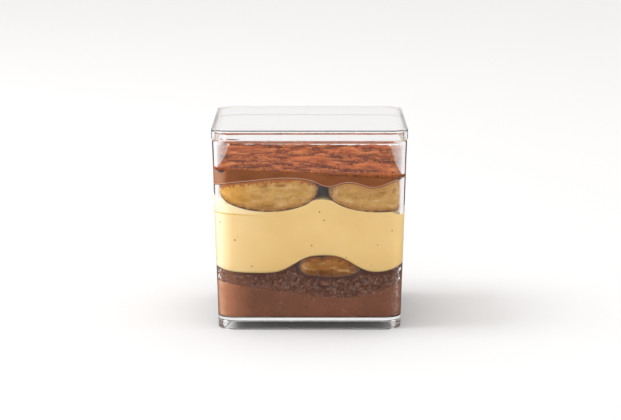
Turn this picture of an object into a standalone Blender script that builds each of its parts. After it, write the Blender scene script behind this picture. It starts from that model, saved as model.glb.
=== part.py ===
"""Tiramisu in a clear square cup with its lid.

Metres, +Z up. The origin is the middle of the cup's foot, on the surface it stands on, and
the front faces -Y. The layers run through the cup from front to back.
"""
import math

import bmesh
import bpy

# Cup, measured on its outside. The walls lean out from the foot to the rim.
FOOT_HALF = 0.0352
SHOULDER_HALF = 0.0372
SHOULDER_Z = 0.0734
RIM_INSET = 0.00085
RIM_Z = 0.0764
CUP_CORNER = 0.0067
FOOT_ROUND = 0.0005
CORNER_STEPS = 6

# Cup, measured on its inside, and the hollow under its floor.
FLOOR_Z = 0.0045
FLOOR_THICK = 0.0013
INSIDE_HALF_AT_FLOOR = 0.0341
INSIDE_HALF_AT_RIM = 0.0357
INSIDE_CORNER = 0.0055
RECESS_HALF = 0.0323
RECESS_CORNER = 0.0045
GATE_RADIUS = 0.0018
GATE_HEIGHT = 0.0009

# Lid: a flat plate with a skirt that stands outside the cup's rim.
LID_HALF = 0.0375
LID_SKIRT_Z = 0.0737
LID_TOP_Z = 0.0776
LID_PLATE = 0.0009
LID_SKIRT = 0.00085
LID_CORNER = 0.0070
LID_EDGE_ROUND = 0.0005

# Neighbours keep this much room between them.
GAP = 0.0003

# Biscuits: middle and half of the width, height of the widest line, depth below and height above.
LEFT_BISCUIT = {"x": -0.0155, "half": 0.0190, "z": 0.0545, "below": 0.0084}
RIGHT_BISCUIT = {"x": 0.0260, "half": 0.0190, "z": 0.0535, "below": 0.0076}
LOWER_BISCUIT = {"x": 0.0077, "half": 0.0127, "z": 0.0237, "below": 0.0031, "above": 0.0052}
RIGHT_BISCUIT_END = 0.0343
BISCUIT_CORNER = 0.0052

# Heights of the layers' shared boundaries at the front wall, before their swells.
CRUMB_BASE_Z = 0.0124
CREAM_BASE_Z = 0.0223
CREAM_PEAK_Z = 0.0507
CHOCOLATE_BASE_Z = 0.0576
SURFACE_Z = 0.0617
COCOA_THICK = 0.0010

LAYER_COLUMNS, LAYER_ROWS = 24, 10
BISCUIT_COLUMNS, BISCUIT_ROWS = 14, 8


def clear_scene():
    for old in list(bpy.data.objects):
        bpy.data.objects.remove(old, do_unlink=True)


def new_collection(name):
    collection = bpy.data.collections.new(name)
    bpy.context.scene.collection.children.link(collection)
    return collection


def new_material(name, colour, roughness, transmission=0.0):
    material = bpy.data.materials.new(name)
    material.use_nodes = True
    shader = material.node_tree.nodes["Principled BSDF"]
    shader.inputs["Base Color"].default_value = (*colour, 1.0)
    shader.inputs["Roughness"].default_value = roughness
    shader.inputs["Metallic"].default_value = 0.0
    shader.inputs["Transmission Weight"].default_value = transmission
    return material


def new_object(name, bm, collection, material=None):
    bmesh.ops.recalc_face_normals(bm, faces=bm.faces[:])
    mesh = bpy.data.meshes.new(name)
    bm.to_mesh(mesh)
    bm.free()
    mesh.shade_smooth()
    mesh.set_sharp_from_angle(angle=math.radians(35))
    if material:
        mesh.materials.append(material)
    piece = bpy.data.objects.new(name, mesh)
    collection.objects.link(piece)
    return piece


def new_cutter(name, bm, collection):
    cutter = new_object(name, bm, collection)
    cutter.hide_render = True
    cutter.display_type = "WIRE"
    return cutter


def add_boolean(piece, other, operation):
    modifier = piece.modifiers.new(other.name, "BOOLEAN")
    modifier.operation = operation
    modifier.object = other


def bevel_edges(bm, edges, radius, segments):
    bmesh.ops.bevel(bm, geom=edges, offset=radius, segments=segments, profile=0.5,
                    affect="EDGES", material=-1)


def tapered_box(bottom_half, bottom_z, top_half, top_z, corner):
    """A square box with upright edges rounded, whose half width changes from bottom to top."""
    bm = bmesh.new()
    bmesh.ops.create_cube(bm, size=2.0)
    for vert in bm.verts:
        upper = vert.co.z > 0.0
        half = top_half if upper else bottom_half
        vert.co = (vert.co.x * half, vert.co.y * half, top_z if upper else bottom_z)
    upright = [edge for edge in bm.edges if abs(edge.verts[0].co.z - edge.verts[1].co.z) > 1e-6]
    bevel_edges(bm, upright, corner, CORNER_STEPS)
    return bm


def edges_at(bm, height):
    return [edge for edge in bm.edges if all(abs(vert.co.z - height) < 1e-6 for vert in edge.verts)]


def face_at(bm, height):
    level = [face for face in bm.faces if all(abs(vert.co.z - height) < 1e-6 for vert in face.verts)]
    return max(level, key=lambda face: face.calc_area())


def inside_half(z):
    """Half the width of the cup's inside at a height."""
    share = (z - FLOOR_Z) / (RIM_Z - FLOOR_Z)
    return INSIDE_HALF_AT_FLOOR + share * (INSIDE_HALF_AT_RIM - INSIDE_HALF_AT_FLOOR)


def make_cup(collection, cutters, material):
    bm = tapered_box(FOOT_HALF, 0.0, SHOULDER_HALF, SHOULDER_Z, CUP_CORNER)
    top = face_at(bm, SHOULDER_Z)
    bmesh.ops.inset_region(bm, faces=[top], thickness=RIM_INSET, use_even_offset=True)
    raised = bmesh.ops.extrude_face_region(bm, geom=[top])
    bmesh.ops.delete(bm, geom=[top], context="FACES_ONLY")
    verts = [item for item in raised["geom"] if isinstance(item, bmesh.types.BMVert)]
    bmesh.ops.translate(bm, verts=verts, vec=(0.0, 0.0, RIM_Z - SHOULDER_Z))
    bevel_edges(bm, edges_at(bm, 0.0), FOOT_ROUND, 3)
    cup = new_object("cup", bm, collection, material)

    above_rim = RIM_Z + 0.002
    inside = tapered_box(INSIDE_HALF_AT_FLOOR, FLOOR_Z, inside_half(above_rim), above_rim, INSIDE_CORNER)
    bevel_edges(inside, edges_at(inside, FLOOR_Z), 0.0010, 2)
    add_boolean(cup, new_cutter("cup_inside", inside, cutters), "DIFFERENCE")

    recess_top = FLOOR_Z - FLOOR_THICK
    recess = tapered_box(RECESS_HALF, -0.001, RECESS_HALF, recess_top, RECESS_CORNER)
    add_boolean(cup, new_cutter("foot_recess", recess, cutters), "DIFFERENCE")

    gate = bmesh.new()
    bmesh.ops.create_cone(gate, cap_ends=True, segments=16, radius1=GATE_RADIUS * 0.8,
                          radius2=GATE_RADIUS, depth=2 * GATE_HEIGHT)
    bmesh.ops.translate(gate, verts=gate.verts[:], vec=(0.0, 0.0, recess_top))
    add_boolean(cup, new_cutter("gate_mark", gate, cutters), "UNION")


def make_lid(collection, cutters, material):
    bm = tapered_box(LID_HALF, LID_SKIRT_Z, LID_HALF, LID_TOP_Z, LID_CORNER)
    bevel_edges(bm, edges_at(bm, LID_TOP_Z), LID_EDGE_ROUND, 2)
    lid = new_object("lid", bm, collection, material)
    half = LID_HALF - LID_SKIRT
    hollow = tapered_box(half, LID_SKIRT_Z - 0.001, half, LID_TOP_Z - LID_PLATE, LID_CORNER - LID_SKIRT)
    add_boolean(lid, new_cutter("lid_hollow", hollow, cutters), "DIFFERENCE")


def swell(x, middle, height, width, power=2.0):
    """A smooth hump of this height round its middle."""
    return height * math.exp(-((abs(x - middle) / width) ** power))


def creep(x, left, right):
    """How much a boundary climbs as it nears the side walls."""
    return (left if x < 0.0 else right) * (abs(x) / 0.0355) ** 8


def drift(y, height, phase):
    """A slow rise and fall from the front wall, where it is nothing, to the back wall."""
    way = (y + 0.0355) / 0.071
    return height * (math.sin(math.pi * (1.4 * way + phase)) - math.sin(math.pi * phase))


def under_biscuit(x, biscuit, wider=0.0):
    """The underside of a biscuit, or far above everything beside it."""
    share = (x - biscuit["x"]) / (biscuit["half"] + wider)
    if abs(share) >= 1.0:
        return 1.0
    return biscuit["z"] - biscuit["below"] * math.sqrt(1.0 - share * share)


def crumb_bottom(x, y):
    away = (x - 0.012) * 1000.0
    rise = 0.0427 * abs(away) ** 1.3 if away < 0.0 else 0.0038 * away ** 2.4
    return CRUMB_BASE_Z + 0.001 * rise + drift(y, 0.0007, 0.2)


def cream_bottom(x, y):
    hump = swell(x, 0.0055, 0.0069, 0.013, 3.0)
    return CREAM_BASE_Z + hump + creep(x, 0.0026, 0.0039) + drift(y, 0.0006, 0.6)


def cream_top(x, y):
    corner = 0.0042 * min(max((x - 0.026) / 0.007, 0.0), 1.0)
    under = min(under_biscuit(x, LEFT_BISCUIT), under_biscuit(x, RIGHT_BISCUIT))
    return min(under, CREAM_PEAK_Z - corner) - GAP


def chocolate_bottom(x, y):
    crown = swell(x, -0.009, 0.0014, 0.012)
    dips = swell(x, 0.007, 0.0021, 0.005) + swell(x, 0.0245, 0.0023, 0.006)
    return CHOCOLATE_BASE_Z + crown - dips + creep(x, -0.0017, 0.0015) + drift(y, 0.0005, 0.3)


def surface(x, y):
    """The top of the food: higher at the front left than at the front right, level at the back."""
    back = (y + 0.0355) / 0.071
    return SURFACE_Z - 0.040 * x * (1.0 - 0.8 * back) + 0.0009 * back + drift(y, 0.0003, 0.1)


def lower_biscuit_top(x, y):
    share = min(abs(x - LOWER_BISCUIT["x"]) / LOWER_BISCUIT["half"], 1.0)
    dome = LOWER_BISCUIT["z"] + LOWER_BISCUIT["above"] * math.sqrt(1.0 - 0.9 * share ** 3)
    return min(dome, cream_bottom(x, y) - GAP)


def crumb_top(x, y):
    return min(cream_bottom(x, y), under_biscuit(x, LOWER_BISCUIT, 0.0015)) - GAP


def round_plan(x, y, half_x, half_y, corner):
    """Moves a point near a rectangle's corner so that the outline is rounded there."""
    over_x = (abs(x) - (half_x - corner)) / corner
    over_y = (abs(y) - (half_y - corner)) / corner
    if over_x <= 0.0 or over_y <= 0.0:
        return x, y
    pull = max(over_x, over_y) / math.hypot(over_x, over_y)
    return (math.copysign(half_x - corner + corner * over_x * pull, x),
            math.copysign(half_y - corner + corner * over_y * pull, y))


def make_layer(name, collection, material, bottom, top, ends=None, columns=LAYER_COLUMNS, rows=LAYER_ROWS):
    """A layer between two height functions of x and y, out to the cup's walls or to its own ends."""
    reach = inside_half(bottom(0.0, 0.0)) - GAP
    left, right = ends or (-reach, reach)
    middle, half_x = (left + right) / 2, (right - left) / 2
    corner = BISCUIT_CORNER if ends else INSIDE_CORNER - GAP

    bm = bmesh.new()
    bmesh.ops.create_grid(bm, x_segments=columns, y_segments=rows, size=1.0)
    raised = bmesh.ops.extrude_face_region(bm, geom=bm.faces[:])
    upper = {item for item in raised["geom"] if isinstance(item, bmesh.types.BMVert)}
    for vert in bm.verts:
        across = math.sin(vert.co.y * math.pi / 2)
        x, y = round_plan(vert.co.x * half_x, across * reach, half_x, reach, corner)
        x += middle
        z = (top if vert in upper else bottom)(x, y)
        room = (inside_half(z) - GAP) / reach
        vert.co = (x if ends else x * room, y * room, z)
    return new_object(name, bm, collection, material)


def make_biscuit(name, collection, material, biscuit, top, ends):
    def bottom(x, y):
        share = min(abs(x - biscuit["x"]) / biscuit["half"], 1.0)
        return biscuit["z"] - biscuit["below"] * math.sqrt(1.0 - share * share)

    return make_layer(name, collection, material, bottom, top, ends, BISCUIT_COLUMNS, BISCUIT_ROWS)


def ends_of(biscuit):
    return biscuit["x"] - biscuit["half"], biscuit["x"] + biscuit["half"]


def make_food(collection):
    ganache = new_material("chocolate_base", (0.20, 0.085, 0.045), 0.45)
    crumb = new_material("biscuit_crumb", (0.10, 0.045, 0.030), 0.85)
    biscuit = new_material("biscuit", (0.55, 0.31, 0.11), 0.75)
    cream = new_material("vanilla_cream", (0.80, 0.58, 0.27), 0.40)
    chocolate = new_material("chocolate_cream", (0.26, 0.10, 0.042), 0.45)
    cocoa = new_material("cocoa_powder", (0.35, 0.13, 0.058), 0.95)

    def floor(x, y):
        return FLOOR_Z + GAP

    def under_surface(x, y):
        return surface(x, y) - COCOA_THICK

    def above(boundary):
        return lambda x, y: boundary(x, y) + GAP / 2

    def below(boundary):
        return lambda x, y: boundary(x, y) - GAP / 2

    make_layer("chocolate_base", collection, ganache, floor, below(crumb_bottom))
    make_layer("crumb_layer", collection, crumb, above(crumb_bottom), crumb_top)
    make_biscuit("lower_biscuit", collection, biscuit, LOWER_BISCUIT, lower_biscuit_top,
                 ends_of(LOWER_BISCUIT))
    make_layer("vanilla_cream", collection, cream, above(cream_bottom), cream_top)
    make_biscuit("left_biscuit", collection, biscuit, LEFT_BISCUIT, below(chocolate_bottom),
                 (-RIGHT_BISCUIT_END, ends_of(LEFT_BISCUIT)[1]))
    make_biscuit("right_biscuit", collection, biscuit, RIGHT_BISCUIT, below(chocolate_bottom),
                 (ends_of(RIGHT_BISCUIT)[0], RIGHT_BISCUIT_END))
    make_layer("chocolate_cream", collection, chocolate, above(chocolate_bottom), below(under_surface))
    make_layer("cocoa_dusting", collection, cocoa, above(under_surface), surface)


def main():
    clear_scene()
    parts = new_collection("tiramisu")
    cutters = new_collection("cutters")
    clear_plastic = new_material("clear_plastic", (0.95, 0.95, 0.95), 0.05, 1.0)
    make_cup(parts, cutters, clear_plastic)
    make_lid(parts, cutters, clear_plastic)
    make_food(parts)


main()
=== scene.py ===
"""Looks of a tiramisu in a clear square cup with its lid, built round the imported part."""
import math
import random

import bmesh
import bpy
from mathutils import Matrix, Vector, noise


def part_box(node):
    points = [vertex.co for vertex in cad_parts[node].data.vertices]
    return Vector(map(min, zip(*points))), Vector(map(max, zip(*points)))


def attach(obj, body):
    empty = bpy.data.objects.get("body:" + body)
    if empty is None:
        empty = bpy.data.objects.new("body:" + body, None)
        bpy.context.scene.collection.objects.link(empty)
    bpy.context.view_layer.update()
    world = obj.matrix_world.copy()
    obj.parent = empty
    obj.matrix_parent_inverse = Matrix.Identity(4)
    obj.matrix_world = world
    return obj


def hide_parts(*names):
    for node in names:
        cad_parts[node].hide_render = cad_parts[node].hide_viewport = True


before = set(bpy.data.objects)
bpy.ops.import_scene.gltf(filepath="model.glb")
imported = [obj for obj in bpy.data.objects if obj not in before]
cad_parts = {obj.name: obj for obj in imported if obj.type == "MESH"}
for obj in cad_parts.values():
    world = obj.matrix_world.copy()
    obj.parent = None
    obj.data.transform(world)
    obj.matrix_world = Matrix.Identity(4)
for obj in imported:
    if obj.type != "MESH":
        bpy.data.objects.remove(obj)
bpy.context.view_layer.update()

MM = 0.001

# ---------------------------------------------------------------- sizes read from the part

CUP_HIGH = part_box("cup")[1]
BASE_LOW, BASE_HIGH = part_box("chocolate_base")
COCOA_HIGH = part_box("cocoa_dusting")[1]
LOWER_LOW, LOWER_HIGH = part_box("lower_biscuit")
LEFT_LOW, LEFT_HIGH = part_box("left_biscuit")
RIGHT_LOW, RIGHT_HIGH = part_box("right_biscuit")

PART_GAP = 0.3 * MM
FLOOR_Z = BASE_LOW[2] - PART_GAP
INSIDE_CORNER = 5.5 * MM
INSIDE_LOW_HALF = BASE_HIGH[0] + PART_GAP
INSIDE_HIGH_HALF = COCOA_HIGH[0] + PART_GAP
WALL_BITE = 0.12 * MM      # how far the food reaches into the clear wall
FLOOR_AIR = 0.10 * MM      # the food only rests on the floor, so a film of air stays under it


def inside_half(z):
    """Half the width of the cup's inside at a height."""
    share = (z - BASE_HIGH[2]) / (COCOA_HIGH[2] - BASE_HIGH[2])
    return INSIDE_LOW_HALF + share * (INSIDE_HIGH_HALF - INSIDE_LOW_HALF)


# ---------------------------------------------------------------- where the layers meet

LEFT_BISCUIT = {"x": -15.5 * MM, "half": 19.0 * MM, "z": 54.5 * MM, "below": 8.4 * MM}
RIGHT_BISCUIT = {"x": 26.0 * MM, "half": 19.0 * MM, "z": 53.5 * MM, "below": 7.6 * MM}
LOWER_BISCUIT = {"x": 7.7 * MM, "half": 12.7 * MM, "z": 23.7 * MM, "below": 3.1 * MM, "above": 5.2 * MM}
HALF_DEPTH = 35.5 * MM


def swell(x, middle, height, width, power=2.0):
    """A smooth hump of this height round its middle, all in millimetres but x."""
    return height * MM * math.exp(-((abs(x / MM - middle) / width) ** power))


def creep(x, left, right):
    """How much a boundary climbs as it nears the side walls."""
    return (left if x < 0.0 else right) * MM * (abs(x) / HALF_DEPTH) ** 8


def drift(y, height, phase):
    """A slow rise and fall from the front wall, where it is nothing, to the back wall."""
    way = (y + HALF_DEPTH) / (2 * HALF_DEPTH)
    return height * MM * (math.sin(math.pi * (1.4 * way + phase)) - math.sin(math.pi * phase))


def under_biscuit(x, biscuit, wider=0.0):
    share = (x - biscuit["x"]) / (biscuit["half"] + wider)
    if abs(share) >= 1.0:
        return 1.0
    return biscuit["z"] - biscuit["below"] * math.sqrt(1.0 - share * share)


def crumb_bottom(x, y):
    away = x / MM - 12.0
    rise = 0.0427 * abs(away) ** 1.3 if away < 0.0 else 0.0038 * away ** 2.4
    return (12.4 + rise) * MM + drift(y, 0.7, 0.2)


def cream_bottom(x, y):
    return 22.3 * MM + swell(x, 5.5, 6.9, 13.0, 3.0) + creep(x, 2.6, 3.9) + drift(y, 0.6, 0.6)


def cream_top(x, y):
    corner = 4.2 * MM * min(max((x / MM - 26.0) / 7.0, 0.0), 1.0)
    under = min(under_biscuit(x, LEFT_BISCUIT), under_biscuit(x, RIGHT_BISCUIT))
    peak = 50.9 * MM - 0.04 * MM * min((x / MM - 4.5) ** 2, 60.0)
    return min(under, max(peak, 49.0 * MM) - corner)


def chocolate_bottom(x, y):
    crown = swell(x, -9.0, 1.4, 12.0)
    dips = swell(x, 7.0, 2.1, 5.0) + swell(x, 24.5, 2.3, 6.0)
    return 57.6 * MM + crown - dips + creep(x, -1.7, 1.5) + drift(y, 0.5, 0.3)


def surface(x, y):
    back = (y + HALF_DEPTH) / (2 * HALF_DEPTH)
    return 61.7 * MM - 0.040 * x * (1.0 - 0.8 * back) + 0.9 * MM * back + drift(y, 0.3, 0.1)


def lower_biscuit_top(x, y):
    share = min(abs(x - LOWER_BISCUIT["x"]) / LOWER_BISCUIT["half"], 1.0)
    dome = LOWER_BISCUIT["z"] + LOWER_BISCUIT["above"] * math.sqrt(1.0 - 0.9 * share ** 3)
    by_front = math.exp(-((y + HALF_DEPTH) / (9.0 * MM)) ** 2)
    dome -= (swell(x, 5.0, 0.55, 1.3) + swell(x, 13.5, 0.35, 1.6)) * by_front
    return min(dome, cream_bottom(x, y))


# ---------------------------------------------------------------- meshes

def outline(count, half_x, half_y, corner):
    """Points evenly round a rounded rectangle: x, y, and the direction that faces out."""
    arc = corner * math.pi / 2
    sides = [2 * (half_y - corner), 2 * (half_x - corner)] * 2
    total = sum(sides) + 4 * arc
    points = []
    for step in range(count):
        along, turn = total * step / count, 0
        while along >= sides[turn] + arc:
            along -= sides[turn] + arc
            turn += 1
        reach = half_y if turn % 2 else half_x
        over, side, bend = reach, along - sides[turn] / 2, 0.0
        if along > sides[turn]:
            bend = (along - sides[turn]) / corner
            over = reach - corner + corner * math.cos(bend)
            side = sides[turn] / 2 + corner * math.sin(bend)
        facing = turn * math.pi / 2
        x = over * math.cos(facing) - side * math.sin(facing)
        y = over * math.sin(facing) + side * math.cos(facing)
        points.append((x, y, math.cos(facing + bend), math.sin(facing + bend)))
    return points


def add_rings(bm, count, levels):
    """A tube of edge rings, all still on one circle: one list of vertices in order for each level."""
    bmesh.ops.create_circle(bm, cap_ends=False, radius=1.0, segments=count)
    edges = bm.edges[:]
    rings = [in_order(bm.verts[:], count)]
    for _ in range(levels - 1):
        made = bmesh.ops.extrude_edge_only(bm, edges=edges)["geom"]
        edges = [item for item in made if isinstance(item, bmesh.types.BMEdge)]
        rings.append(in_order([item for item in made if isinstance(item, bmesh.types.BMVert)], count))
    return rings


def in_order(verts, count):
    placed = [None] * count
    for vert in verts:
        turn = math.atan2(vert.co.y, vert.co.x) / (2 * math.pi)
        placed[round(turn * count) % count] = vert
    return placed


def close_ring(bm, ring):
    bmesh.ops.contextual_create(bm, geom=ring_edges(ring))


def ring_edges(ring):
    pairs = zip(ring, ring[1:] + ring[:1])
    return [edge for a, b in pairs for edge in a.link_edges if edge.other_vert(a) is b]


def finish_mesh(name, bm, material, node_names):
    bmesh.ops.recalc_face_normals(bm, faces=bm.faces[:])
    if bm.calc_volume(signed=True) < 0.0:
        bmesh.ops.reverse_faces(bm, faces=bm.faces[:])
    mesh = bpy.data.meshes.new(name)
    bm.to_mesh(mesh)
    bm.free()
    mesh.shade_smooth()
    mesh.materials.append(material)
    piece = bpy.data.objects.new(name, mesh)
    bpy.context.scene.collection.objects.link(piece)
    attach(piece, "root")
    if node_names:
        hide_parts(*node_names)
    return piece


def no_relief(x, y, z, low, high):
    return 0.0


# How far in from the side wall each ring of a piece's underside and top lies, in millimetres.
BISCUIT_INSETS = [0.3, 0.7, 1.2, 1.9, 2.8, 4.0, 6.0, 9.0, 13.0]
LAYER_INSETS = [0.4, 1.0, 2.0, 4.0, 7.0, 11.0, 16.0, 22.0, 28.0, 33.0]


def build_layer(bottom, top, around, rows, relief=no_relief, ends=None, insets=LAYER_INSETS,
                corner=INSIDE_CORNER, bite=WALL_BITE):
    """A layer as rings: in from under its middle, up its sides, and in over its top."""
    left, right = ends or (-1.0, 1.0)
    bm = bmesh.new()
    climb = bm.verts.layers.float.new("climb")
    fall = bm.verts.layers.float.new("fall")
    rings = add_rings(bm, around, 2 * len(insets) + rows + 1)
    nominal = inside_half(bottom(0.0, 0.0)) + bite
    half_x = (right - left) / 2 if ends else nominal
    middle = (right + left) / 2

    def place(vert, x, y, nx, ny, z, push):
        room = (inside_half(z) + bite) / nominal
        x = x if ends else x * room
        limit = inside_half(z) + bite
        vert.co = (max(-limit, min(limit, x + middle)) + nx * push, y * room + ny * push, z)
        low, high = bottom(x + middle, y), top(x + middle, y)
        vert[climb], vert[fall] = (z - low) / MM, (high - z) / MM

    for index, inset in enumerate(insets):
        inner = inset * MM
        shrunk = outline(around, half_x - inner, nominal - inner, max(corner - inner, 0.3 * MM))
        for way, height in ((len(insets) - 1 - index, bottom), (len(insets) + rows + 1 + index, top)):
            for vert, (x, y, nx, ny) in zip(rings[way], shrunk):
                place(vert, x, y, nx, ny, height(x + middle, y), 0.0)
    side = outline(around, half_x, nominal, corner)
    for row in range(rows + 1):
        share = row / rows
        for vert, (x, y, nx, ny) in zip(rings[len(insets) + row], side):
            low, high = bottom(x + middle, y), top(x + middle, y)
            z = low + share * (high - low)
            place(vert, x, y, nx, ny, z, relief(x + middle, y, z, low, high) * MM)
    close_ring(bm, rings[0])
    close_ring(bm, rings[-1])
    return bm


def grain(x, y, z, size, seed=0.0, octaves=2):
    """Noise from about -1 to 1 whose features are about this size, in millimetres."""
    spot = Vector((x, y, z)) / (size * MM) + Vector((seed, seed * 1.7, -seed))
    return noise.fractal(spot, 0.9, 2.0, octaves)


def bubbles(x, y, z, size, seed=0.0):
    """Nothing between bubbles, up to 1 at the middle of one."""
    spot = Vector((x, y, z)) / (size * MM) + Vector((seed, -seed, seed))
    near = noise.voronoi(spot)[0][0]
    return max(0.0, 1.0 - near / 0.45)


# ---------------------------------------------------------------- materials

def srgb(red, green, blue):
    """A colour given in 8-bit steps, as the linear values that shaders take."""
    def linear(value):
        value /= 255.0
        return value / 12.92 if value <= 0.04045 else ((value + 0.055) / 1.055) ** 2.4
    return (linear(red), linear(green), linear(blue), 1.0)


class Finish:
    """A material as it is being built, with short ways to add nodes and join them."""

    def __init__(self, name, roughness, gloss=0.08):
        self.material = bpy.data.materials.new(name)
        self.material.use_nodes = True
        self.nodes = self.material.node_tree.nodes
        self.links = self.material.node_tree.links
        self.shader = self.nodes["Principled BSDF"]
        self.shader.inputs["Roughness"].default_value = roughness
        self.shader.inputs["Specular IOR Level"].default_value = gloss
        self.coords = self.nodes.new("ShaderNodeTexCoord").outputs["Object"]

    def join(self, source, target):
        self.links.new(source, target)

    def noise(self, size, detail=3.0, roughness=0.55, stretch=(1.0, 1.0, 1.0), shift=0.0):
        mapping = self.nodes.new("ShaderNodeMapping")
        mapping.inputs["Scale"].default_value = stretch
        mapping.inputs["Location"].default_value = (shift, shift * 0.7, -shift)
        self.join(self.coords, mapping.inputs["Vector"])
        node = self.nodes.new("ShaderNodeTexNoise")
        node.inputs["Scale"].default_value = 1.0 / (size * MM)
        node.inputs["Detail"].default_value = detail
        node.inputs["Roughness"].default_value = roughness
        self.join(mapping.outputs["Vector"], node.inputs["Vector"])
        return node.outputs["Fac"]

    def spots(self, size):
        node = self.nodes.new("ShaderNodeTexVoronoi")
        node.inputs["Scale"].default_value = 1.0 / (size * MM)
        self.join(self.coords, node.inputs["Vector"])
        return node.outputs["Distance"]

    def attribute(self, name):
        node = self.nodes.new("ShaderNodeAttribute")
        node.attribute_name = name
        return node.outputs["Fac"]

    def axis(self, index):
        node = self.nodes.new("ShaderNodeSeparateXYZ")
        self.join(self.coords, node.inputs["Vector"])
        return node.outputs[index]

    def between(self, value, low, high, to_low=0.0, to_high=1.0):
        node = self.nodes.new("ShaderNodeMapRange")
        node.interpolation_type = "SMOOTHSTEP"
        self.join(value, node.inputs["Value"])
        settings = (("From Min", low), ("From Max", high), ("To Min", to_low), ("To Max", to_high))
        for key, number in settings:
            node.inputs[key].default_value = number
        return node.outputs["Result"]

    def math(self, operation, first, second):
        node = self.nodes.new("ShaderNodeMath")
        node.operation = operation
        for slot, value in zip(node.inputs, (first, second)):
            if isinstance(value, (int, float)):
                slot.default_value = value
            else:
                self.join(value, slot)
        return node.outputs["Value"]

    def mix(self, share, first, second):
        node = self.nodes.new("ShaderNodeMix")
        node.data_type = "RGBA"
        for slot, value in ((node.inputs[0], share), (node.inputs[6], first), (node.inputs[7], second)):
            if isinstance(value, (tuple, float, int)):
                slot.default_value = value
            else:
                self.join(value, slot)
        return node.outputs[2]

    def ramp(self, value, *stops):
        node = self.nodes.new("ShaderNodeValToRGB")
        ramp = node.color_ramp
        for place, colour in stops[2:]:
            ramp.elements.new(place)
        for element, (place, colour) in zip(ramp.elements, sorted(stops)):
            element.position = place
            element.color = colour
        self.join(value, node.inputs["Fac"])
        return node.outputs["Color"]

    def colour(self, source):
        self.join(source, self.shader.inputs["Base Color"])

    def bump(self, height, distance):
        node = self.nodes.new("ShaderNodeBump")
        node.inputs["Distance"].default_value = distance * MM
        node.inputs["Strength"].default_value = 1.0
        self.join(height, node.inputs["Height"])
        self.join(node.outputs["Normal"], self.shader.inputs["Normal"])

    def soften(self, weight, radius, scale):
        """Light that goes a little way into the food before it comes out."""
        self.shader.inputs["Subsurface Weight"].default_value = weight
        self.shader.inputs["Subsurface Radius"].default_value = radius
        self.shader.inputs["Subsurface Scale"].default_value = scale * MM


def clear_plastic():
    """Clear moulded plastic that lets the lamps through to the food."""
    finish = Finish("clear_plastic", 0.0, 0.2)
    shader = finish.shader
    shader.inputs["Base Color"].default_value = (0.985, 0.985, 0.985, 1.0)
    shader.inputs["Transmission Weight"].default_value = 1.0
    shader.inputs["IOR"].default_value = 1.46
    path = finish.nodes.new("ShaderNodeLightPath")
    through = finish.nodes.new("ShaderNodeBsdfTransparent")
    through.inputs["Color"].default_value = (0.97, 0.97, 0.97, 1.0)
    mix = finish.nodes.new("ShaderNodeMixShader")
    finish.join(path.outputs["Is Shadow Ray"], mix.inputs[0])
    finish.join(shader.outputs["BSDF"], mix.inputs[1])
    finish.join(through.outputs["BSDF"], mix.inputs[2])
    finish.join(mix.outputs["Shader"], finish.nodes["Material Output"].inputs["Surface"])
    return finish.material


def by_front_or_back(finish, start):
    """1 beside the front and back walls, falling to nothing along the side walls."""
    across = finish.math("ABSOLUTE", finish.axis(1), 0.0)
    return finish.between(across, start * MM, (start + 3.0) * MM)


def painted_corner_glints(finish, base, low, high, left, right, colour):
    """Painted highlights: bright specks near the upright corners, standing for light glinting in the air
    pockets where the food has drawn back.
    """
    along, height = finish.axis(0), finish.axis(2)
    reach = finish.between(along, right * MM, (right + 2.2) * MM)
    reach = finish.math("MAXIMUM", reach, finish.between(along, (left - 2.2) * MM, left * MM, 1.0, 0.0))
    reach = finish.math("MULTIPLY", reach, by_front_or_back(finish, 29.5))
    reach = finish.math("MULTIPLY", reach, finish.between(height, low * MM, (low + 3.0) * MM))
    reach = finish.math("MULTIPLY", reach, finish.between(height, (high - 2.0) * MM, high * MM, 1.0, 0.0))
    dots = finish.math("ADD", finish.noise(0.75, 3.0, 0.7), finish.math("MULTIPLY", reach, 0.10))
    dots = finish.math("MULTIPLY", finish.between(dots, 0.54, 0.70, 0.0, 0.8), reach)
    return finish.mix(dots, base, colour)


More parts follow.
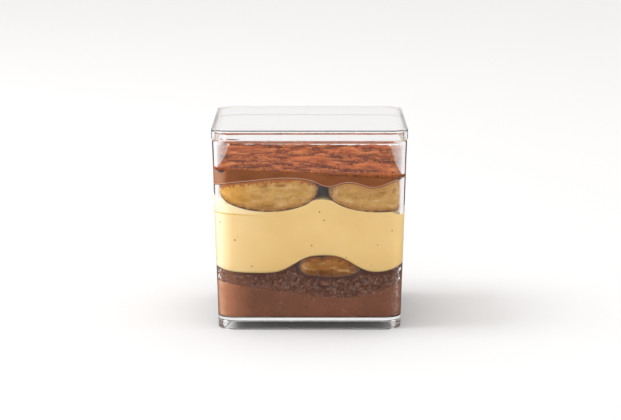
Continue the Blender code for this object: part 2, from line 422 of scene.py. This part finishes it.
def ganache_finish():
    finish = Finish("chocolate_base", 0.42)
    broad = finish.noise(9.0, 2.0)
    base = finish.ramp(broad, (0.35, srgb(117, 74, 54)), (0.65, srgb(130, 82, 60)))
    grit = finish.between(finish.noise(0.8, 3.0, 0.7), 0.36, 0.64)
    base = finish.mix(finish.math("MULTIPLY", grit, 0.22), base, srgb(152, 102, 80))
    speck = finish.between(finish.noise(0.9, 2.0), 0.64, 0.72, 0.0, 0.8)
    base = finish.mix(speck, base, srgb(82, 48, 36))
    # Pale air bubbles near the top of the layer, their brightness a painted highlight.
    upper = finish.between(finish.attribute("fall"), 0.4, 3.6, 1.0, 0.0)
    bubble_glint = finish.between(finish.spots(1.3), 0.10, 0.22, 0.55, 0.0)
    base = finish.mix(finish.math("MULTIPLY", upper, bubble_glint), base, srgb(176, 132, 112))
    # Painted light: paler towards the left end and a little paler at the right end, beside the front and
    # back walls, standing for light from the sides.
    waver = finish.between(finish.noise(5.0), 0.3, 0.7, -0.8 * MM, 0.8 * MM)
    side = finish.math("ADD", finish.axis(0), waver)
    near = by_front_or_back(finish, 29.0)
    painted_side_light = finish.math("MULTIPLY", near, finish.between(side, -32.0 * MM, -21.0 * MM, 0.85, 0.0))
    base = finish.mix(painted_side_light, base, srgb(176, 118, 88))
    painted_side_light = finish.math("MULTIPLY", near, finish.between(side, -36.0 * MM, -31.0 * MM, 0.75, 0.0))
    base = finish.mix(painted_side_light, base, srgb(220, 176, 146))
    painted_side_light = finish.math("MULTIPLY", near, finish.between(side, 27.0 * MM, 33.0 * MM, 0.0, 0.35))
    base = finish.mix(painted_side_light, base, srgb(146, 100, 82))
    # painted highlights: bright glint specks near the upright corners
    finish.colour(painted_corner_glints(finish, base, 5.0, 19.0, -36.0, 31.4, srgb(192, 160, 146)))
    finish.bump(finish.noise(1.5), 0.05)
    finish.soften(0.15, (1.0, 0.5, 0.3), 1.0)
    return finish.material


def crumb_finish():
    finish = Finish("biscuit_crumb", 0.55)
    mottle = finish.noise(1.0, 5.0, 0.7)
    base = finish.ramp(mottle, (0.34, srgb(72, 42, 32)), (0.50, srgb(104, 69, 54)),
                       (0.66, srgb(156, 112, 92)))
    broad = finish.between(finish.noise(4.5, 2.0), 0.42, 0.62)
    base = finish.mix(finish.math("MULTIPLY", broad, 0.35), base, srgb(84, 54, 42))
    climb, fall = finish.attribute("climb"), finish.attribute("fall")
    wander = finish.between(finish.noise(2.4, 3.0), 0.3, 0.7, -1.1, 1.1)
    low_down = finish.between(finish.math("ADD", climb, wander), 0.3, 3.0, 1.0, 0.0)
    base = finish.mix(finish.math("MULTIPLY", low_down, 0.75), base, srgb(120, 78, 58))
    # Painted shade: dark spots standing for the shade inside holes in the crumb.
    holes = finish.between(finish.spots(1.25), 0.16, 0.30, 0.65, 0.0)
    holes = finish.math("MULTIPLY", holes, finish.between(climb, 4.5, 7.0, 1.0, 0.25))
    base = finish.mix(holes, base, srgb(60, 36, 29))
    # Pale air bubbles, mostly low down, their brightness a painted highlight.
    bubble_glint = finish.between(finish.spots(0.95), 0.08, 0.18, 0.75, 0.0)
    bubble_glint = finish.math("MULTIPLY", bubble_glint, finish.between(climb, 2.0, 6.5, 1.0, 0.15))
    base = finish.mix(bubble_glint, base, srgb(186, 146, 128))
    near_cream = finish.between(finish.math("ADD", fall, wander), 0.7, 2.6, 0.92, 0.0)
    base = finish.mix(near_cream, base, srgb(84, 53, 44))
    # Painted light: paler towards the left end, beside the front and back walls.
    side = finish.between(finish.axis(0), -33.0 * MM, -22.0 * MM, 0.6, 0.0)
    painted_side_light = finish.math("MULTIPLY", side, by_front_or_back(finish, 29.0))
    base = finish.mix(painted_side_light, base, srgb(150, 104, 80))
    # painted highlights: bright glint specks near the upright corners
    finish.colour(painted_corner_glints(finish, base, 9.0, 26.5, -32.4, 31.4, srgb(192, 162, 148)))
    finish.bump(finish.noise(0.7, 4.0), 0.12)
    return finish.material


def biscuit_finish(name, rim, body, pale, golden, film):
    """Sponge biscuit: a dark crust along its underside with painted shade above it, pores darkened by
    painted shade, pale swirls painted as highlights, a golden end, a film over its top, and a painted shadow
    line along its top edge.
    """
    finish = Finish(name, 0.55)
    mottle = finish.noise(3.6, 4.0, 0.55, stretch=(0.6, 1.0, 1.25))
    base = finish.ramp(mottle, (0.34, rim), (0.46, body), (0.64, pale))
    # Painted highlights: pale swirls on the sponge.
    pale_swirl_highlight = finish.between(finish.noise(3.2, 3.0, 0.5, (0.5, 1.0, 1.3), 0.013), 0.54, 0.70, 0.0, 0.55)
    base = finish.mix(pale_swirl_highlight, base, srgb(222, 190, 136))
    warm = finish.between(finish.axis(0), -31.0 * MM, -17.0 * MM, 0.75, 0.0)
    base = finish.mix(warm, base, golden)
    # Painted shade: dark pores standing for the shade inside them.
    pores = finish.between(finish.spots(1.05), 0.13, 0.24, 0.6, 0.0)
    pores = finish.math("MULTIPLY", pores, finish.between(finish.noise(3.0), 0.42, 0.58))
    base = finish.mix(pores, base, srgb(126, 82, 42))
    fine = finish.between(finish.noise(0.5, 3.0, 0.7), 0.54, 0.66, 0.0, 0.35)
    base = finish.mix(fine, base, rim)
    climb, fall = finish.attribute("climb"), finish.attribute("fall")
    uneven = finish.between(finish.noise(1.8, 3.0), 0.3, 0.7, -0.45, 0.45)
    edge = finish.math("ADD", climb, uneven)
    # Darker towards the underside: partly the crust, partly painted shade over the rounding of the
    # underside.
    base = finish.mix(finish.between(edge, 0.7, 2.6, 0.7, 0.0), base, rim)
    lid = finish.math("ADD", fall, finish.between(finish.noise(1.3, 4.0, 0.65), 0.3, 0.7, -0.9, 0.9))
    base = finish.mix(finish.between(lid, 0.9, 1.9, 0.9, 0.0), base, film)
    crust = finish.between(edge, 0.15, 0.70, 1.0, 0.0)
    base = finish.mix(crust, base, srgb(112, 68, 34))
    # Painted shadow: a thin dark line along the top edge, under the layer above.
    finish.colour(finish.mix(finish.between(fall, 0.12, 0.34, 0.9, 0.0), base, srgb(120, 74, 50)))
    finish.bump(finish.noise(0.6, 4.0), 0.15)
    finish.soften(0.12, (1.0, 0.6, 0.3), 1.0)
    return finish.material


def cream_finish():
    finish = Finish("vanilla_cream", 0.35)
    broad = finish.noise(14.0, 2.0)
    base = finish.ramp(broad, (0.3, srgb(227, 196, 134)), (0.7, srgb(232, 203, 144)))
    along, height = finish.axis(0), finish.axis(2)
    base = finish.mix(finish.between(height, 22.0 * MM, 34.0 * MM, 0.6, 0.0), base, srgb(224, 190, 124))
    # Painted light: paler towards the left, and palest at the left edge beside the front and back walls.
    base = finish.mix(finish.between(along, -31.0 * MM, -14.0 * MM, 0.5, 0.0), base, srgb(246, 222, 172))
    painted_side_light = finish.between(along, -36.0 * MM, -29.5 * MM, 0.8, 0.0)
    painted_side_light = finish.math("MULTIPLY", by_front_or_back(finish, 29.0), painted_side_light)
    base = finish.mix(painted_side_light, base, srgb(255, 238, 214))
    left = finish.between(along, -30.0 * MM, -15.0 * MM, 1.0, 0.0)
    fold = finish.math("ADD", height, finish.math("MULTIPLY", along, 0.06))
    above = finish.between(fold, 43.3 * MM, 44.2 * MM, 0.0, 0.8)
    base = finish.mix(finish.math("MULTIPLY", left, above), base, srgb(250, 232, 196))
    # Painted shade: a dark crease line along the fold on the left.
    line = finish.math("ABSOLUTE", finish.math("SUBTRACT", fold, 43.5 * MM), 0.0)
    line = finish.math("MULTIPLY", left, finish.between(line, 0.10 * MM, 0.42 * MM, 0.9, 0.0))
    base = finish.mix(line, base, srgb(218, 182, 98))
    specks = finish.between(finish.spots(4.4), 0.052, 0.088, 0.85, 0.0)
    finish.colour(finish.mix(specks, base, srgb(120, 78, 40)))
    finish.bump(finish.noise(3.0), 0.04)
    finish.soften(0.3, (1.0, 0.7, 0.35), 2.0)
    return finish.material


def chocolate_finish():
    finish = Finish("chocolate_cream", 0.40)
    broad = finish.noise(10.0, 2.0, stretch=(1.0, 1.0, 2.0))
    base = finish.ramp(broad, (0.35, srgb(125, 71, 35)), (0.65, srgb(139, 80, 43)))
    # Painted light: paler at the left end, beside the front and back walls.
    side = finish.between(finish.axis(0), -33.6 * MM, -31.2 * MM, 0.6, 0.0)
    painted_side_light = finish.math("MULTIPLY", side, by_front_or_back(finish, 29.0))
    base = finish.mix(painted_side_light, base, srgb(184, 138, 110))
    # A thin pale film just above the lower edge, its brightness painted as a highlight along the edge.
    edge = finish.between(finish.attribute("climb"), 0.22, 0.62, 0.85, 0.0)
    base = finish.mix(edge, base, srgb(206, 160, 134))
    # Painted shadow: a thin dark line at the very bottom edge, where the layer meets the one below.
    under = finish.between(finish.attribute("climb"), 0.05, 0.20, 0.9, 0.0)
    finish.colour(finish.mix(under, base, srgb(96, 56, 40)))
    finish.bump(finish.noise(2.5), 0.05)
    finish.soften(0.15, (1.0, 0.5, 0.3), 1.0)
    return finish.material


def cocoa_finish():
    finish = Finish("cocoa_powder", 0.95, 0.0)
    tall = finish.attribute("tall")
    jitter = finish.between(finish.noise(0.55, 4.0, 0.7), 0.3, 0.7, -0.16, 0.16)
    # Painted shade and light: darker in the hollows and lighter on the tops, by height.
    level = finish.between(finish.math("ADD", tall, jitter), -0.55, 0.34)
    base = finish.ramp(level, (0.10, srgb(58, 24, 14)), (0.38, srgb(112, 55, 26)),
                       (0.62, srgb(136, 73, 35)), (0.95, srgb(168, 100, 56)))
    red = finish.between(finish.noise(13.0, 2.0), 0.45, 0.62, 0.0, 0.28)
    base = finish.mix(red, base, srgb(152, 70, 34))
    # Painted shade: dark flecks standing for the shade in small pits.
    dark = finish.between(finish.noise(0.60, 3.0, 0.7), 0.58, 0.68, 0.0, 0.5)
    finish.colour(finish.mix(dark, base, srgb(70, 30, 18)))
    finish.bump(finish.noise(0.40, 4.0, 0.75), 0.30)
    return finish.material


def lump_finish():
    finish = Finish("cocoa_lumps", 0.95, 0.0)
    shade = finish.noise(3.0, 4.0, 0.8)
    finish.colour(finish.ramp(shade, (0.38, srgb(60, 28, 19)), (0.52, srgb(118, 62, 34)),
                              (0.62, srgb(166, 102, 62))))
    finish.bump(finish.noise(0.3), 0.2)
    return finish.material


# ---------------------------------------------------------------- the food

def corner_air(x, y, z, low, high, amount):
    """Where the food shrinks from the upright corners of the cup and leaves speckled air."""
    near = min(abs(x), abs(y)) / inside_half(z)
    in_corner = min(max((near - 0.90) / 0.05, 0.0), 1.0)
    patch = min(max(0.35 + 2.2 * grain(x, y, z, 0.9, 4.0, 3), 0.0), 1.0)
    return amount * in_corner * patch


def ganache_relief(x, y, z, low, high):
    pits = bubbles(x, y, z, 3.1, 2.0) * 0.3 if grain(x, y, z, 9.0, 1.0) > 0.25 else 0.0
    return -pits - corner_air(x, y, z, low, high, 0.6 if x > 0 else 0.08)


def crumb_relief(x, y, z, low, high):
    inside = max(min((z - low) / (0.8 * MM), (high - z) / (2.0 * MM), 1.0), 0.0)
    rough = max(0.0, grain(x, y, z, 1.6, 3.0, 3) - 0.22)
    holes = max(0.0, bubbles(x, y, z, 1.9, 5.0) - 0.35)
    return -inside * (0.9 * rough + 0.5 * holes) - corner_air(x, y, z, low, high, 0.6)


def biscuit_relief(x, y, z, low, high):
    inside = min(max((z - low) / (0.5 * MM), 0.0), 1.0)
    pores = max(0.0, grain(x, y, z, 0.9, 6.0, 3) - 0.16)
    rounding = max(0.0, 1.0 - (z - low) / (1.1 * MM)) ** 2 * 0.45
    return -inside * (0.7 * pores + 0.30 * max(0.0, bubbles(x, y, z, 2.3, 8.0) - 0.3)) - rounding


def cream_relief(x, y, z, low, high):
    return -0.25 * max(0.0, bubbles(x, y, z, 6.0, 3.0) - 0.55)


def build_chocolate_base():
    def floor(x, y):
        return FLOOR_Z + FLOOR_AIR

    def relief(x, y, z, low, high):
        rounding = 1.0 - min((z - low) / (1.0 * MM), 1.0)
        return ganache_relief(x, y, z, low, high) - (1.0 - math.sqrt(1.0 - rounding ** 2)) * 0.9

    bm = build_layer(floor, crumb_bottom, 760, 28, relief)
    finish_mesh("chocolate_base_fill", bm, ganache_finish(), ["chocolate_base"])


def build_crumb_layer():
    def top(x, y):
        return min(cream_bottom(x, y), under_biscuit(x, LOWER_BISCUIT)) + 0.03 * MM

    def bottom(x, y):
        return crumb_bottom(x, y) - 0.25 * MM + 0.6 * MM * grain(x, y, 0.0, 2.2, 2.0)

    bm = build_layer(bottom, top, 840, 30, crumb_relief, bite=WALL_BITE - 0.02 * MM)
    finish_mesh("crumb_layer_fill", bm, crumb_finish(), ["crumb_layer"])


BISCUIT_ROUNDING = 4.5 * MM


def build_biscuit(name, biscuit, top, ends, material):
    def bottom(x, y):
        share = min(abs(x - biscuit["x"]) / biscuit["half"], 1.0)
        return biscuit["z"] - biscuit["below"] * math.sqrt(1.0 - share * share)

    bm = build_layer(bottom, top, 620, 26, biscuit_relief, ends, BISCUIT_INSETS, BISCUIT_ROUNDING,
                     WALL_BITE - 0.01 * MM)
    finish_mesh(name + "_sponge", bm, material, [name])


def build_biscuits():
    left = biscuit_finish("left_biscuit", srgb(158, 110, 58), srgb(194, 149, 82), srgb(212, 170, 102),
                          srgb(226, 170, 76), srgb(170, 100, 56))
    right = biscuit_finish("right_biscuit", srgb(158, 112, 62), srgb(192, 148, 84), srgb(210, 168, 104),
                           srgb(200, 150, 80), srgb(190, 140, 84))
    soaked = biscuit_finish("soaked_biscuit", srgb(112, 66, 26), srgb(154, 100, 42), srgb(184, 128, 62),
                            srgb(160, 100, 44), srgb(128, 78, 36))
    build_biscuit("left_biscuit", LEFT_BISCUIT, chocolate_bottom, (LEFT_LOW[0], LEFT_HIGH[0]), left)
    build_biscuit("right_biscuit", RIGHT_BISCUIT, chocolate_bottom, (RIGHT_LOW[0], RIGHT_HIGH[0]), right)
    build_biscuit("lower_biscuit", LOWER_BISCUIT, lower_biscuit_top, (LOWER_LOW[0], LOWER_HIGH[0]), soaked)


def build_cream():
    bm = build_layer(cream_bottom, cream_top, 620, 40, cream_relief, bite=WALL_BITE + 0.02 * MM)
    finish_mesh("vanilla_cream_fill", bm, cream_finish(), ["vanilla_cream"])


def build_chocolate_cream():
    def top(x, y):
        inward = 1.0 - max(abs(x), abs(y)) / inside_half(surface(x, y))
        rough = 0.55 * abs(grain(x, y, 0.0, 1.6, 6.0, 3))
        return surface(x, y) - (0.25 + rough + min(60.0 * inward, 1.6)) * MM

    bm = build_layer(chocolate_bottom, top, 760, 22)
    finish_mesh("chocolate_cream_fill", bm, chocolate_finish(), ["chocolate_cream"])


COCOA_STEPS = 290


def cocoa_height(x, y):
    """Powder in millimetres: soft heaps, rounded clumps with narrow hollows between them, and crumbs."""
    heaps = 0.35 * grain(x, y, 0.0, 7.0, 1.0, 2)
    large = min(abs(grain(x, y, 0.0, 3.2, 2.0, 2)), 0.6)
    small = min(abs(grain(x, y, 0.0, 1.25, 5.0, 2)), 0.5)
    fine = grain(x, y, 0.0, 0.62, 8.0, 2)
    calm = min(max(0.65 + 1.3 * grain(x, y, 0.0, 15.0, 4.0), 0.25), 1.0)
    return heaps + calm * (0.55 * large + 0.75 * small + 0.16 * fine) - 0.55 * calm


def round_plan(x, y, half, corner):
    """Moves a point near a square's corner so that the outline is rounded there."""
    over_x = (abs(x) - (half - corner)) / corner
    over_y = (abs(y) - (half - corner)) / corner
    if over_x <= 0.0 or over_y <= 0.0:
        return x, y
    pull = max(over_x, over_y) / math.hypot(over_x, over_y)
    return (math.copysign(half - corner + corner * over_x * pull, x),
            math.copysign(half - corner + corner * over_y * pull, y))


def build_cocoa():
    bm = bmesh.new()
    tall = bm.verts.layers.float.new("tall")
    bmesh.ops.create_grid(bm, x_segments=COCOA_STEPS, y_segments=COCOA_STEPS, size=1.0)
    half = inside_half(surface(0.0, 0.0)) + WALL_BITE - 0.04 * MM
    for vert in bm.verts:
        x, y = round_plan(vert.co.x * half, vert.co.y * half, half, INSIDE_CORNER)
        vert[tall] = cocoa_height(x, y)
        vert.co = (x, y, surface(x, y) + vert[tall] * MM)
    border = [edge for edge in bm.edges if edge.is_boundary]
    made = bmesh.ops.extrude_edge_only(bm, edges=border)["geom"]
    for vert in (item for item in made if isinstance(item, bmesh.types.BMVert)):
        vert.co.z = surface(vert.co.x, vert.co.y) - 1.2 * MM
    rim = [item for item in made if isinstance(item, bmesh.types.BMEdge)]
    bmesh.ops.contextual_create(bm, geom=rim)
    finish_mesh("cocoa_dusting_powder", bm, cocoa_finish(), ["cocoa_dusting"])


def build_lumps():
    """Loose lumps of cocoa on the powder, the largest in the back left corner."""
    random.seed(11)
    spots = [(-31.4, 30.6, 1.7), (-29.6, 31.0, 1.4), (-32.8, 29.8, 1.2),
             (19.0, -31.5, 0.8), (31.8, -31.0, 0.6)]
    for _ in range(300):
        spots.append((random.uniform(-33, 33), random.uniform(-33, 33), random.triangular(0.12, 0.42, 0.15)))
    for _ in range(170):
        spots.append((random.uniform(-33, 33), random.uniform(-34.6, -31),
                      random.triangular(0.14, 0.5, 0.2)))
    bm = bmesh.new()
    for x, y, size in spots:
        made = bmesh.ops.create_icosphere(bm, subdivisions=2 if size > 0.6 else 1, radius=size * MM)["verts"]
        ground = surface(x * MM, y * MM) + cocoa_height(x * MM, y * MM) * MM
        for vert in made:
            vert.co *= 1.0 + 0.35 * noise.noise(vert.co / (size * MM) * 1.3 + Vector((x, y, 0.0)))
            vert.co.z *= 0.75
            vert.co += Vector((x * MM, y * MM, ground + (0.35 if size > 1.0 else 0.1) * size * MM))
    finish_mesh("cocoa_lumps", bm, lump_finish(), [])


# ---------------------------------------------------------------- the cup and the lid

def arc_points(start, middle, end, steps):
    """A quarter round from start to end about the middle: (half, z) pairs."""
    points = []
    for step in range(steps + 1):
        turn = math.pi / 2 * step / steps
        points.append(tuple(middle[axis] + (start[axis] - middle[axis]) * math.cos(turn)
                            + (end[axis] - middle[axis]) * math.sin(turn) for axis in (0, 1)))
    return points


def with_support(profile):
    """The profile with a ring close to each end of a long stretch, so that flat walls shade flat."""
    supported = [profile[0]]
    for start, end in zip(profile, profile[1:]):
        length = math.dist(start, end)
        if length > 1.0 * MM:
            for share in (SUPPORT / length, 1.0 - SUPPORT / length):
                supported.append(tuple(a + (b - a) * share for a, b in zip(start, end)))
        supported.append(end)
    return supported


CLEAR_PLASTIC = clear_plastic()


def build_shell(name, faces, around, node):
    """A moulded shell: rounded squares that follow profiles of (half width, height)."""
    levels = []
    for profile, corner_at in faces:
        levels += [(half, z, corner_at(half)) for half, z in with_support(profile)]
    bm = bmesh.new()
    rings = add_rings(bm, around, len(levels))
    for ring, (half, z, corner) in zip(rings, levels):
        for vert, (x, y, _, _) in zip(ring, outline(around, half, half, corner)):
            vert.co = (x, y, z)
    close_ring(bm, rings[0])
    close_ring(bm, rings[-1])
    piece = finish_mesh(name, bm, CLEAR_PLASTIC, [node])
    piece.data.set_sharp_from_angle(angle=math.radians(50))
    return piece


SUPPORT = 0.15 * MM
AROUND_SHELL = 440         # points in each ring of a shell
LEAST_CORNER = 4.0 * MM
FOOT_HALF = 35.2 * MM
SHOULDER_HALF = CUP_HIGH[0]
SHOULDER_Z = 73.4 * MM
RIM_INSET = 0.85 * MM
RIM_Z = CUP_HIGH[2] + 0.4 * MM                   # just under the lid
RIM_ROUND = 0.15 * MM      # the rim's inside edge
RIM_IN, RIM_DROP = 0.4 * MM, 1.0 * MM            # the rim's outside edge, rounded more down than in
SHOULDER_IN, SHOULDER_DROP = 0.55 * MM, 0.65 * MM
CUP_CORNER = 6.7 * MM
FOOT_ROUND = 0.5 * MM
PLATE_UNDER_Z = 3.2 * MM
RECESS_HALF = 32.3 * MM
RECESS_CORNER = 4.5 * MM
RECESS_ROUND = 0.4 * MM
FLOOR_FILLET = 1.0 * MM
GATE_RADIUS = 1.8 * MM
GATE_HEIGHT = 0.9 * MM


def build_cup():
    slope = (SHOULDER_HALF - FOOT_HALF) / SHOULDER_Z
    rim_half = SHOULDER_HALF - RIM_INSET
    inner_rim, inner_floor = inside_half(RIM_Z), inside_half(FLOOR_Z)
    foot = FOOT_HALF + slope * FOOT_ROUND
    tip = PLATE_UNDER_Z - GATE_HEIGHT
    gate = [(GATE_RADIUS * 0.3, tip), (GATE_RADIUS * 0.85, tip), (GATE_RADIUS, tip + 0.15 * MM),
            (GATE_RADIUS, PLATE_UNDER_Z)]
    recess = [(GATE_RADIUS * 2, PLATE_UNDER_Z)]
    recess += arc_points((RECESS_HALF - RECESS_ROUND, PLATE_UNDER_Z),
                         (RECESS_HALF - RECESS_ROUND, PLATE_UNDER_Z - RECESS_ROUND),
                         (RECESS_HALF, PLATE_UNDER_Z - RECESS_ROUND), 3)
    recess += [(RECESS_HALF, 0.2 * MM), (RECESS_HALF + 0.2 * MM, 0.0)]
    outside = arc_points((foot - FOOT_ROUND, 0.0), (foot - FOOT_ROUND, FOOT_ROUND), (foot, FOOT_ROUND), 8)
    outside += arc_points((SHOULDER_HALF, SHOULDER_Z - SHOULDER_DROP),
                          (SHOULDER_HALF - SHOULDER_IN, SHOULDER_Z - SHOULDER_DROP),
                          (SHOULDER_HALF - SHOULDER_IN, SHOULDER_Z), 5)
    outside += [(rim_half + 0.1 * MM, SHOULDER_Z), (rim_half, SHOULDER_Z + 0.1 * MM)]
    outside += arc_points((rim_half, RIM_Z - RIM_DROP), (rim_half - RIM_IN, RIM_Z - RIM_DROP),
                          (rim_half - RIM_IN, RIM_Z), 6)
    inside = arc_points((inner_rim + RIM_ROUND, RIM_Z), (inner_rim + RIM_ROUND, RIM_Z - RIM_ROUND),
                        (inner_rim, RIM_Z - RIM_ROUND), 3)
    inside += arc_points((inner_floor + 0.02 * MM, FLOOR_Z + FLOOR_FILLET),
                         (inner_floor - FLOOR_FILLET, FLOOR_Z + FLOOR_FILLET),
                         (inner_floor - FLOOR_FILLET, FLOOR_Z), 6)
    inside += [(10.0 * MM, FLOOR_Z)]
    faces = [(gate, lambda half: half * 0.999),
             (recess, lambda half: max(RECESS_CORNER - (RECESS_HALF - half), GATE_RADIUS)),
             (outside, lambda half: CUP_CORNER - max(FOOT_HALF - half, 0.0)),
             (inside, lambda half: max(INSIDE_CORNER - max(inner_floor - half, 0.0), LEAST_CORNER))]
    build_shell("cup_clear", faces, AROUND_SHELL, "cup")


LID_LOW, LID_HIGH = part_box("lid")
LID_PLATE = 0.75 * MM
LID_SKIRT = 0.85 * MM
LID_CORNER = 7.0 * MM
LID_ROUND = 0.5 * MM
LID_INNER_ROUND = 0.3 * MM


def build_lid():
    half, low, high = LID_HIGH[0], LID_LOW[2], LID_HIGH[2]
    inner, under = half - LID_SKIRT, high - LID_PLATE
    profile = [(10.0 * MM, under)]
    profile += arc_points((inner - LID_INNER_ROUND, under),
                          (inner - LID_INNER_ROUND, under - LID_INNER_ROUND),
                          (inner, under - LID_INNER_ROUND), 3)
    profile += [(inner, low + 0.1 * MM), (inner + 0.1 * MM, low)]
    profile += [(half - 0.15 * MM, low), (half, low + 0.15 * MM)]
    profile += arc_points((half, high - LID_ROUND), (half - LID_ROUND, high - LID_ROUND),
                          (half - LID_ROUND, high), 5)
    profile += [(10.0 * MM, high)]
    faces = [(profile, lambda ring: max(LID_CORNER - (half - ring), LEAST_CORNER))]
    build_shell("lid_clear", faces, AROUND_SHELL, "lid")


# ---------------------------------------------------------------- the studio

def build_stage():
    """A pale floor, darker where the plastic mirrors it, so that the mirroring doesn't veil the food."""
    bm = bmesh.new()
    bmesh.ops.create_grid(bm, x_segments=8, y_segments=8, size=6.0)
    mesh = bpy.data.meshes.new("studio_floor")
    bm.to_mesh(mesh)
    bm.free()
    floor = bpy.data.objects.new("studio_floor", mesh)
    finish = Finish("studio_floor", 0.9)
    path = finish.nodes.new("ShaderNodeLightPath").outputs
    mirrored = finish.math("MULTIPLY", path["Is Glossy Ray"], path["Is Reflection Ray"])
    finish.colour(finish.mix(mirrored, srgb(181, 180, 180), srgb(96, 95, 95)))
    mesh.materials.append(finish.material)
    bpy.context.scene.collection.objects.link(floor)


def add_area(name, place, aim, width, height, power):
    light = bpy.data.lights.new(name, "AREA")
    light.shape = "RECTANGLE"
    light.size, light.size_y = width, height
    light.energy = power
    light.color = (0.965, 1.0, 1.02)
    lamp = bpy.data.objects.new(name, light)
    lamp.location = place
    lamp.rotation_euler = (Vector(aim) - Vector(place)).to_track_quat("-Z", "Y").to_euler()
    bpy.context.scene.collection.objects.link(lamp)


HORIZON_LIGHT, OVERHEAD_LIGHT = 0.88, 2.1     # the world's brightness low down and overhead


def build_lights():
    world = bpy.data.worlds.new("studio")
    world.use_nodes = True
    nodes, links = world.node_tree.nodes, world.node_tree.links
    split = nodes.new("ShaderNodeSeparateXYZ")
    links.new(nodes.new("ShaderNodeTexCoord").outputs["Generated"], split.inputs["Vector"])

    def between(value, low, high, to_low, to_high):
        node = nodes.new("ShaderNodeMapRange")
        node.interpolation_type = "SMOOTHSTEP"
        links.new(value, node.inputs["Value"])
        for key, number in (("From Min", low), ("From Max", high), ("To Min", to_low), ("To Max", to_high)):
            node.inputs[key].default_value = number
        return node.outputs["Result"]

    overhead = between(split.outputs["Z"], 0.20, 0.75, HORIZON_LIGHT, OVERHEAD_LIGHT)
    background = nodes["Background"]
    background.inputs["Color"].default_value = (1.0, 0.991, 0.983, 1.0)
    links.new(overhead, background.inputs["Strength"])
    bpy.context.scene.world = world
    add_area("window_left", (-1.05, -0.08, 1.15), (0.0, 0.0, 0.03), 0.8, 0.8, 17.0)


CAMERA_PLACE = (0.00037, -0.8517, 0.1912)
CAMERA_TILT = 0.175
CAMERA_LENS = 126.1


def build_camera():
    data = bpy.data.cameras.new("camera")
    data.lens = CAMERA_LENS
    data.sensor_width = 36.0
    data.clip_start = 0.01
    camera = bpy.data.objects.new("camera", data)
    camera.location = CAMERA_PLACE
    camera.rotation_euler = (math.pi / 2 - CAMERA_TILT, 0.0, 0.0)
    bpy.context.scene.collection.objects.link(camera)
    bpy.context.scene.camera = camera


build_camera()
build_stage()
build_lights()
build_cup()
build_lid()
build_chocolate_base()
build_crumb_layer()
build_biscuits()
build_cream()
build_chocolate_cream()
build_cocoa()
build_lumps()
bpy.context.scene.view_settings.view_transform = "Standard"
# Light crosses many clear walls on its way through the cup, its floor plate and the lid.
for kind in ("max_bounces", "glossy_bounces", "transmission_bounces", "transparent_max_bounces"):
    setattr(bpy.context.scene.cycles, kind, 24)
